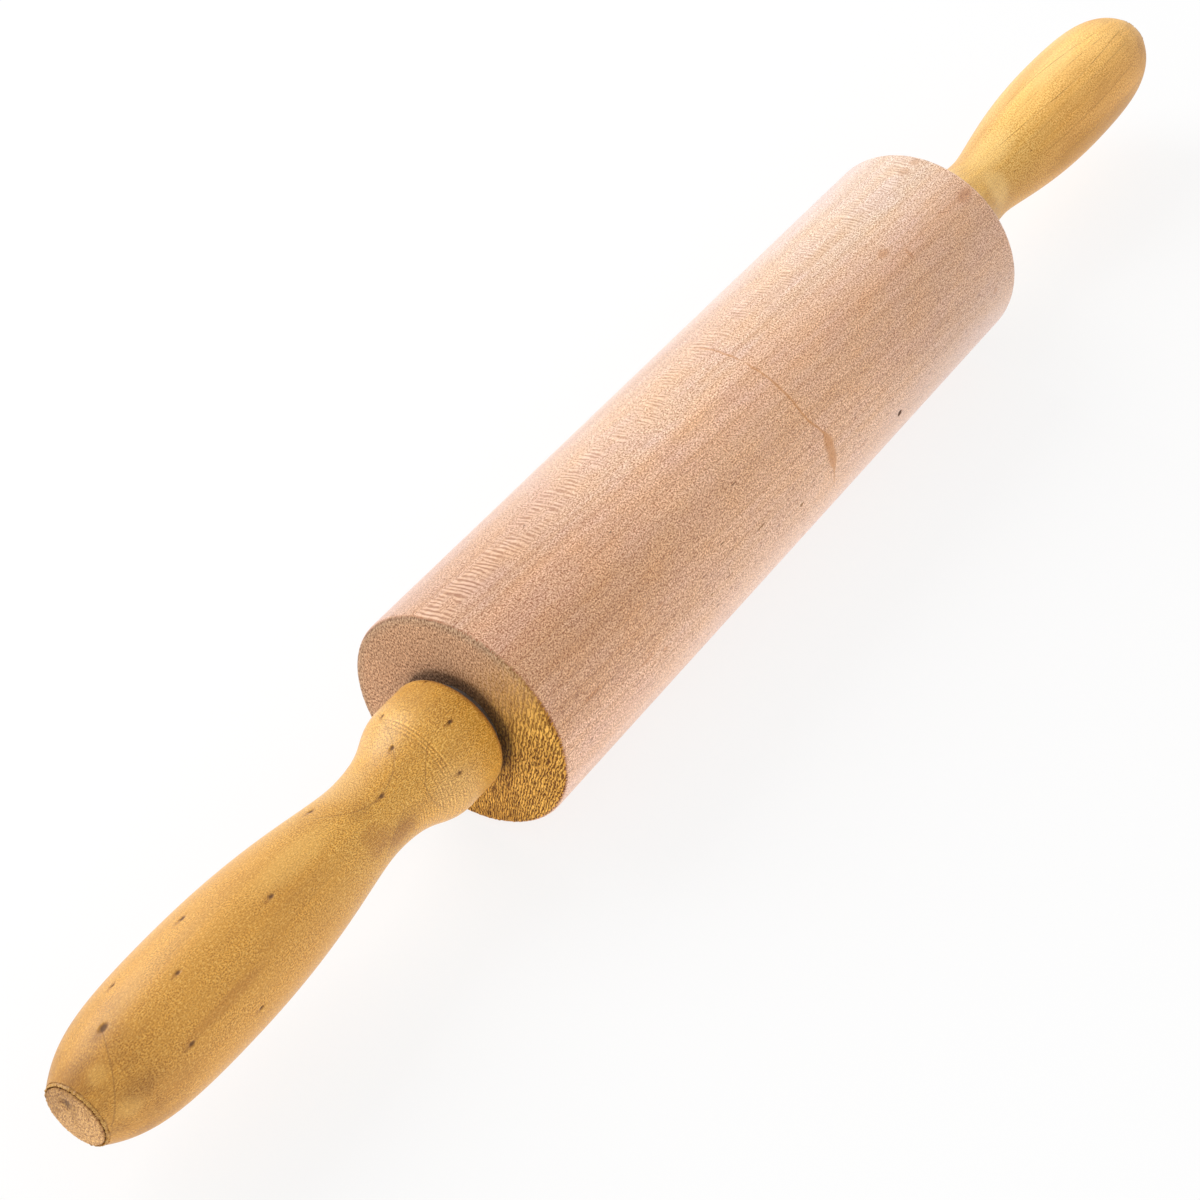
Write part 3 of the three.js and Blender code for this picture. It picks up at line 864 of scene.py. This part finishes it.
    # Wear: scratches, the rubbed nose, the score and the lip round the plug; and painted shade on the
    # collar's dark base, in the gap by the barrel
    base = 1 - finish.ease(along, 2.6, 4.4)
    worn = finish.ease(along, 92, 113)
    patch = finish.ease(finish.grain(place, (5.0, 4.0, 4.0), 5.7), 0.45, 0.62) * (1 - glow)
    colour = finish.tints(colour, (
        (finish.ease(scratch, 0.0, 0.9), (1.16, 1.18, 1.26)),
        (finish.ease(-scratch, 0.0, 0.9), (0.83, 0.8, 0.76)),
        (base, (0.62, 0.52, 0.4)),
        (worn, (0.87, 0.85, 0.8)),
        (worn * patch, (0.86, 0.84, 0.82)),
    ))
    tip_along = HANDLE_TIP - BARREL_END
    ragged = finish.grain(place, 0.8, 3.6, detail=1.0) - 0.5
    score = finish.ease(along + ragged * 0.5, tip_along - 0.6, tip_along - 0.46)
    colour = finish.mix(score * (0.3 + ragged), colour, SCORE_BROWN)
    lip = finish.ease(along + ragged * 0.9, tip_along - 0.4, tip_along - 0.1)
    colour = finish.mix(lip * 0.7, colour, finish.mix(speck + ragged, LIP_DARK, LIP_PALE))

    height = speck * 0.25 + dash * 0.2 - line * 0.4 - seam * 0.5 - pit - groove * 0.3 + scratch * 0.2
    rough = 0.33 + speck * 0.1 + pit * 0.3 + worn * 0.1 + base * 0.5
    lacquer = {
        "Specular IOR Level": look["gloss"],
        "Coat Weight": (1 - base) * look["coat"],
        "Coat Roughness": 0.28,
        "Sheen Weight": look["bloom"],
        "Sheen Roughness": 0.3,
        "Sheen Tint": LACQUER_BLOOM,
    }
    return finish.surface(finish.skinned(colour, rough, height, 0.04, lacquer))


# Plug wood
PLUG_DARK = paint(148, 98, 50)
PLUG_PALE = paint(230, 180, 112)
PLUG_RIM_BROWN = paint(124, 82, 40)
PLUG_PIT_BROWN = paint(78, 46, 22)
PLUG_YEAR = 1.7


def plug_wood(name, side):
    """Bare end grain in the handle's tip: pinkish gold, speckled, with ring lines and a pit."""
    finish = Finish(bpy.data.materials.new(name))
    place = finish.about_axle()
    _, y, z = finish.parts(place)
    reach = finish.maths("SQRT", y * y + z * z)
    fine = finish.sharpen(finish.skin(z, y, (0.5, 0.34), 5.9, detail=1.0, distortion=0.5), 2.4)
    patch = finish.skin(z, y, (3.4, 2.2), 3.3, detail=1.0)
    bend = finish.skin(z, y, (5.0, 5.0), 7.2)
    year = finish.maths("FRACT", (y * 0.5 + z * 0.85 + y * y * 0.03) / PLUG_YEAR + bend * 1.5)
    shade = finish.ease(finish.facing(y, z, 48) + (patch - 0.5) * 4, -1.0, 5.0)
    pale = finish.ease(finish.facing(y, z, -125), 1.0, 6.0)
    colour = finish.tints(finish.mix(fine, PLUG_DARK, PLUG_PALE), (
        (finish.ease(patch, 0.5, 0.75), (0.86, 0.83, 0.76)),
        (finish.ease(year, 0.7, 1.0), (0.88, 0.84, 0.8)),
        (shade, (0.74, 0.7, 0.62)),
        (pale, (1.06, 1.07, 1.1)),
    ))
    edge = finish.ease(reach + (fine - 0.5) * 0.3, TIP_RADIUS - 0.62, TIP_RADIUS - 0.4)
    colour = finish.mix(edge * 0.3, colour, PLUG_RIM_BROWN)
    hollow = finish.marks(place, ((side * plug_high.x, *PLUG_PIT),), lambda _: PLUG_PIT_REACH)
    colour = finish.mix(hollow * 0.85, colour, PLUG_PIT_BROWN)
    height = fine + year * 0.3
    bare = {"Specular IOR Level": 0.35}
    return finish.surface(finish.skinned(colour, 0.52 + fine * 0.16, height, 0.05, bare))


# Hardware
ZINC_BRIGHT = paint(206, 208, 212)
ZINC_DULL = paint(188, 190, 192)
TURNING_LINE_SIZE = (0.15, 6.0, 6.0)
NYLON_PALE = paint(240, 236, 224)
NYLON_DARK = paint(228, 222, 206)
NYLON_IOR = 1.53


def zinc_steel():
    """Bright plated steel with fine turning lines."""
    finish = Finish(bpy.data.materials.new("zinc_plated_steel"))
    place = finish.about_axle()
    lines = finish.grain(place, TURNING_LINE_SIZE, 2.5)
    bloom = finish.grain(place, 2.5, 8.3)
    colour = finish.mix(finish.ease(bloom, 0.35, 0.7), ZINC_BRIGHT, ZINC_DULL)
    return finish.surface(finish.skinned(colour, 0.22 + lines * 0.18, lines, 0.01, {"Metallic": 1.0}))


def white_nylon():
    """Natural nylon, slightly waxy, with faint mottling."""
    finish = Finish(bpy.data.materials.new("natural_nylon"))
    place = finish.about_axle()
    mottle = finish.grain(place, 1.8, 4.4)
    colour = finish.mix(finish.ease(mottle, 0.3, 0.7), NYLON_PALE, NYLON_DARK)
    return finish.surface(finish.skinned(colour, 0.38 + mottle * 0.15, mottle, 0.02, {"IOR": NYLON_IOR}))


def lumps(place):
    """Smooth unevenness between 0 and 1."""
    return 0.5 + 0.5 * unevenness(place)


def barrel_shape():
    """The barrel with its bore and eased edges, nicked all round and torn low down at the left end."""
    bore = AXLE_RADIUS + PRESS_GAP
    edge = BARREL_RADIUS - BARREL_EDGE
    outline = [(-BARREL_END, bore), (-BARREL_END, COLLAR_RADIUS)]
    outline += arc(-BARREL_END + BARREL_EDGE, edge, BARREL_EDGE, 180, 90)
    outline += arc(BARREL_END - BARREL_EDGE, edge, BARREL_EDGE, 90, 0)
    outline += [(BARREL_END, COLLAR_RADIUS), (BARREL_END, bore)]
    shape = turned(outline, sides=BARREL_SIDES)
    for corner in shape.verts:
        reach = math.hypot(corner.co.y, corner.co.z)
        if reach < edge - WELD:
            continue
        share = 1 - min((BARREL_END - abs(corner.co.x)) / BARREL_EDGE, 1)
        wear = max(unevenness(corner.co * NICK_RATE), 0) * NICK_DEPTH
        if corner.co.x < 0:
            turn = math.degrees(math.atan2(corner.co.y, corner.co.z))
            apart = abs((turn - TORN_TURN + 180) % 360 - 180)
            torn = max(1 - (apart / TORN_HALF) ** 2, 0)
            wear += torn * TORN_DEPTH * lumps(corner.co * TORN_RATE)
        shrink = 1 - share * wear / reach
        corner.co.y *= shrink
        corner.co.z *= shrink
    return shape


def press_pits(shape, side, pits):
    """Presses the small pits of a handle into its surface."""
    for out, at, half in pits:
        radius = handle_radius(out)
        angle = math.radians(at)
        outward = Vector((0, math.sin(angle), math.cos(angle)))
        middle = outward * radius
        middle.x = side * (BARREL_END + out)
        near = half * 2 + PIT_MARGIN
        corners = [corner for corner in shape.verts if (corner.co - middle).length < near]
        edges = {edge for corner in corners for edge in corner.link_edges}
        bmesh.ops.subdivide_edges(shape, edges=list(edges), cuts=PIT_CUTS, use_grid_fill=True)
        for corner in shape.verts:
            away = corner.co - middle
            if away.length < near:
                spread = math.hypot(away.x / half, away.yz.length / (half * PIT_NARROW))
                corner.co -= outward * PIT_DEPTH * max(1 - spread * spread, 0)


def handle_shape(side, pits):
    """A handle with its bore, the seats of its bushes and the lock nut's pocket."""
    inner_low, inner_high = measured("right_inner_bush")
    outer_low, outer_high = measured("right_outer_bush")
    flange_seat = (inner_high.z - inner_low.z) / 2 + PRESS_GAP
    bush_seat = BUSH_RADIUS + PRESS_GAP
    pocket = PLUG_RADIUS + PRESS_GAP
    pocket_floor = outer_high.x - BUSH_FLANGE
    inner_seat = inner_low.x + BUSH_FLANGE
    inside = [
        (HANDLE_TIP - TIP_SEAT, pocket),
        (pocket_floor, pocket),
        (pocket_floor, bush_seat),
        (outer_low.x, bush_seat),
        (outer_low.x, HANDLE_BORE),
        (inner_high.x, HANDLE_BORE),
        (inner_high.x, bush_seat),
        (inner_seat, bush_seat),
        (inner_seat, flange_seat),
        (HANDLE_BASE, flange_seat),
    ]
    shape = turned(HANDLE_OUTLINE + inside, side)
    for corner in shape.verts:
        if abs(corner.co.x) > HANDLE_TIP - TIP_SCORE and corner.co.yz.length > pocket + LIP_CLEAR:
            wear = abs(unevenness(corner.co * TIP_WEAR_RATE + TIP_WEAR_SHIFT)) * TIP_RAGGED * 2
            corner.co.x -= side * wear
            corner.co.yz *= 1 - unevenness(corner.co * TIP_RAGGED_RATE) * TIP_RAGGED / TIP_RADIUS
    press_pits(shape, side, pits)
    return shape


def plug_shape(side):
    """A plug with an uneven, slightly domed face and a small hollow in it."""
    edge_x = plug_high.x - PLUG_DOME - PLUG_EDGE
    edge_radius = PLUG_RADIUS + PLUG_SPREAD - PLUG_EDGE
    under_head = edge_x - PLUG_EDGE
    outline = [(plug_low.x, 0.0), (plug_low.x, PLUG_RADIUS), (under_head, PLUG_RADIUS)]
    outline += arc(edge_x, edge_radius, PLUG_EDGE, 170, 15)
    for step in range(1, PLUG_RINGS + 1):
        radius = edge_radius * (1 - step / PLUG_RINGS)
        outline.append((plug_high.x - PLUG_DOME * (radius / edge_radius) ** 2, radius))
    shape = turned(outline, side, hollow=False)
    pit_turn, pit_length, pit_width = PLUG_PIT
    angle = math.radians(pit_turn)
    pit = Vector((0, PLUG_PIT_REACH * math.sin(angle), PLUG_PIT_REACH * math.cos(angle)))
    for corner in shape.verts:
        if abs(corner.co.x) < under_head + WELD:
            continue
        worn_off = lumps(corner.co * PLUG_UNEVEN_RATE + PLUG_UNEVEN_SHIFT) * PLUG_UNEVEN
        worn_off += lumps(corner.co * PLUG_FRAYED_RATE) * PLUG_FRAYED
        corner.co.yz *= 1 - worn_off / PLUG_RADIUS
        if abs(corner.co.x) < edge_x - WELD:
            continue
        dip = lumps(corner.co * PLUG_DIP_RATE) * PLUG_DIP
        dip += pit_length * PLUG_PIT_DIP * max(1 - ((corner.co - pit).yz.length / pit_width) ** 2, 0)
        corner.co.x -= side * dip
    return shape


# How the handles look: colours, tones that multiply them, and the marks above.
# A facing is the turn of the side with painted light or painted shade, a show its strength, and bite the
# contrast of the specks. Back and top are tones of painted shade
HANDLE_LOOKS = {
    "left": {
        "dark": paint(168, 112, 28),
        "light": paint(226, 170, 74),
        "fleck": paint(250, 204, 112),
        "pale": paint(236, 190, 108),
        "painted_light_facing": 50,
        "painted_light_show": 0.12,
        "painted_shade_facing": -110,
        "painted_shade_show": 0.0,
        "ring": paint(120, 76, 28),
        "lines": (),
        "bite": 2.2,
        "gloss": 0.42,
        "coat": 0.1,
        "bloom": 0.06,
        "speck": (0.36, 0.26),
        "back": (0.78, 0.74, 0.78),
        "top": (1.0, 1.0, 1.0),
        "belly": (0.99, 0.95, 0.92),
        "dull": paint(172, 122, 66),
        "dulls": LEFT_DULLS,
        "turning_marks": LEFT_TURNING_MARKS,
        "strand": (0.93, 0.91, 0.86),
        "shades": LEFT_SHADES,
        "shade": (0.84, 0.81, 0.76),
        "arches": LEFT_ARCHES,
        "cracks": LEFT_CRACKS,
        "glows": LEFT_GLOWS,
        "pits": LEFT_PITS,
        "streaks": LEFT_STREAKS,
    },
    "right": {
        "dark": paint(204, 149, 66),
        "light": paint(250, 203, 119),
        "fleck": paint(255, 222, 138),
        "pale": paint(255, 220, 150),
        "painted_light_facing": 45,
        "painted_light_show": 0.1,
        "painted_shade_facing": -100,
        "painted_shade_show": 1.0,
        "ring": paint(122, 72, 20),
        "lines": RIGHT_LINES,
        "bite": 3.0,
        "gloss": 0.2,
        "coat": 0.03,
        "bloom": 0.0,
        "speck": (0.5, 0.38),
        "back": (0.72, 0.63, 0.7),
        "top": (0.92, 0.87, 0.92),
        "belly": (1.16, 1.13, 1.14),
        "dulls": (),
        "turning_marks": (),
        "strand": (0.9, 0.86, 0.76),
        "shades": RIGHT_SHADES,
        "shade": (0.76, 0.71, 0.45),
        "arches": (),
        "cracks": (),
        "glows": RIGHT_GLOWS,
        "pits": RIGHT_PITS,
        "streaks": RIGHT_STREAKS,
    },
}
SIDES = {"left": -1, "right": 1}

finished("barrel", barrel_shape(), barrel_wood())
for end_name, side in SIDES.items():
    handle_finish = handle_wood(end_name + "_handle_lacquered_wood", side, HANDLE_LOOKS[end_name])
    finished(end_name + "_handle", handle_shape(side, HANDLE_LOOKS[end_name]["pits"]), handle_finish)
    finished(end_name + "_end_plug", plug_shape(side), plug_wood(end_name + "_plug_end_grain", side))

METAL_NODES = ("thrust_washer", "retaining_washer", "lock_nut")
NYLON_NODES = ("inner_bush", "outer_bush", "lock_ring")
steel = zinc_steel()
nylon = white_nylon()
for end_name in SIDES:
    for kind in METAL_NODES:
        frame["nodes"][f"{end_name}_{kind}"].data.materials[0] = steel
    for kind in NYLON_NODES:
        frame["nodes"][f"{end_name}_{kind}"].data.materials[0] = nylon
frame["nodes"]["axle"].data.materials[0] = steel

# Studio: a white floor that keeps the pin's shadow, soft light from all round and a softbox on the left
FLOOR_HALF = 3000
FLOOR_SHADOW_REACH = (380, 900)
FLOOR_SHADOW_SHARE = 0.2
FLOOR_GLOW = 0.72
ROOM_LIGHT = 0.81
WHITE = (1.0, 1.0, 1.0, 1.0)
PAPER = (0.85, 0.85, 0.85, 1.0)
SOFTBOX_PLACE = (-0.15, 0.92, 0.77)
SOFTBOX_AIM = (0.0, 0.0, 0.0)
SOFTBOX_SIZE = 1.0
SOFTBOX_POWER = 10.5


def seen_rays(finish):
    """1 for what the camera sees, also in gloss and glass, and 0 for light that falls on the pin."""
    path = finish.node("ShaderNodeLightPath", {}, {}).socket.node
    kinds = ("Is Camera Ray", "Is Glossy Ray", "Is Transmission Ray")
    camera, gloss, glass = [Signal(finish, path.outputs[kind]) for kind in kinds]
    return finish.either(finish.either(camera, gloss), glass)


def studio_floor():
    """White paper that shows a faint shadow near the pin and nothing further off."""
    shape = bmesh.new()
    bmesh.ops.create_grid(shape, x_segments=1, y_segments=1, size=FLOOR_HALF * MM)
    mesh = bpy.data.meshes.new("studio_floor")
    shape.to_mesh(mesh)
    shape.free()
    floor = bpy.data.objects.new("studio_floor", mesh)
    bpy.context.scene.collection.objects.link(floor)
    finish = Finish(bpy.data.materials.new("white_paper"))
    coordinates = finish.node("ShaderNodeTexCoord", {}, {}, "Object")
    reach = finish.vector("LENGTH", coordinates, output=1) / MM
    paper = finish.node("ShaderNodeBsdfDiffuse", {}, {"Color": PAPER})
    glow = finish.node("ShaderNodeEmission", {}, {"Color": WHITE, "Strength": FLOOR_GLOW})
    lit = finish.node("ShaderNodeAddShader", {}, {0: paper, 1: glow})
    white = finish.node("ShaderNodeEmission", {}, {"Color": WHITE, "Strength": 1.0})
    keeps = (1 - finish.ease(reach, *FLOOR_SHADOW_REACH)) * FLOOR_SHADOW_SHARE
    kept_white = finish.node("ShaderNodeMixShader", {}, {0: keeps, 1: white, 2: paper})
    shader = finish.node("ShaderNodeMixShader", {}, {0: seen_rays(finish), 1: lit, 2: kept_white})
    finish.node("ShaderNodeOutputMaterial", {}, {"Surface": shader})
    mesh.materials.append(finish.owner)


def studio_room():
    """An even white room, a little dimmer for the light that falls on the pin."""
    finish = Finish(bpy.data.worlds.new("white_room"))
    light = finish.node("ShaderNodeBackground", {}, {"Color": WHITE, "Strength": ROOM_LIGHT})
    white = finish.node("ShaderNodeBackground", {}, {"Color": WHITE, "Strength": 1.0})
    shader = finish.node("ShaderNodeMixShader", {}, {0: seen_rays(finish), 1: light, 2: white})
    finish.node("ShaderNodeOutputWorld", {}, {"Surface": shader})
    bpy.context.scene.world = finish.owner


def softbox(name, place, aim, size, power):
    """A square lamp at a place, facing the aim, in metres and watts."""
    lamp = bpy.data.lights.new(name, "AREA")
    lamp.shape = "SQUARE"
    lamp.size = size
    lamp.energy = power
    stand = bpy.data.objects.new(name, lamp)
    bpy.context.scene.collection.objects.link(stand)
    stand.location = place
    stand.rotation_euler = (Vector(aim) - Vector(place)).to_track_quat("-Z", "Y").to_euler()


# Camera, from the photograph's view
CAMERA_AIM = Vector((-0.0530, -0.0039, AXLE_HEIGHT * MM))
CAMERA_AZIMUTH = math.radians(-56.63)
CAMERA_ELEVATION = math.radians(43.05)
CAMERA_DISTANCE = 0.569
CAMERA_LENS = 78.9
SENSOR_WIDTH = 36.0


def photograph_camera():
    """The camera at the photograph's viewing angle."""
    level = math.cos(CAMERA_ELEVATION)
    back = Vector((
        math.sin(CAMERA_AZIMUTH) * level,
        -math.cos(CAMERA_AZIMUTH) * level,
        math.sin(CAMERA_ELEVATION),
    ))
    lens = bpy.data.cameras.new("photograph_camera")
    lens.lens = CAMERA_LENS
    lens.sensor_width = SENSOR_WIDTH
    camera = bpy.data.objects.new("photograph_camera", lens)
    bpy.context.scene.collection.objects.link(camera)
    camera.location = CAMERA_AIM + back * CAMERA_DISTANCE
    camera.rotation_euler = (-back).to_track_quat("-Z", "Y").to_euler()
    bpy.context.scene.camera = camera


studio_floor()
studio_room()
softbox("left_softbox", SOFTBOX_PLACE, SOFTBOX_AIM, SOFTBOX_SIZE, SOFTBOX_POWER)
photograph_camera()
bpy.context.scene.view_settings.view_transform = "Standard"
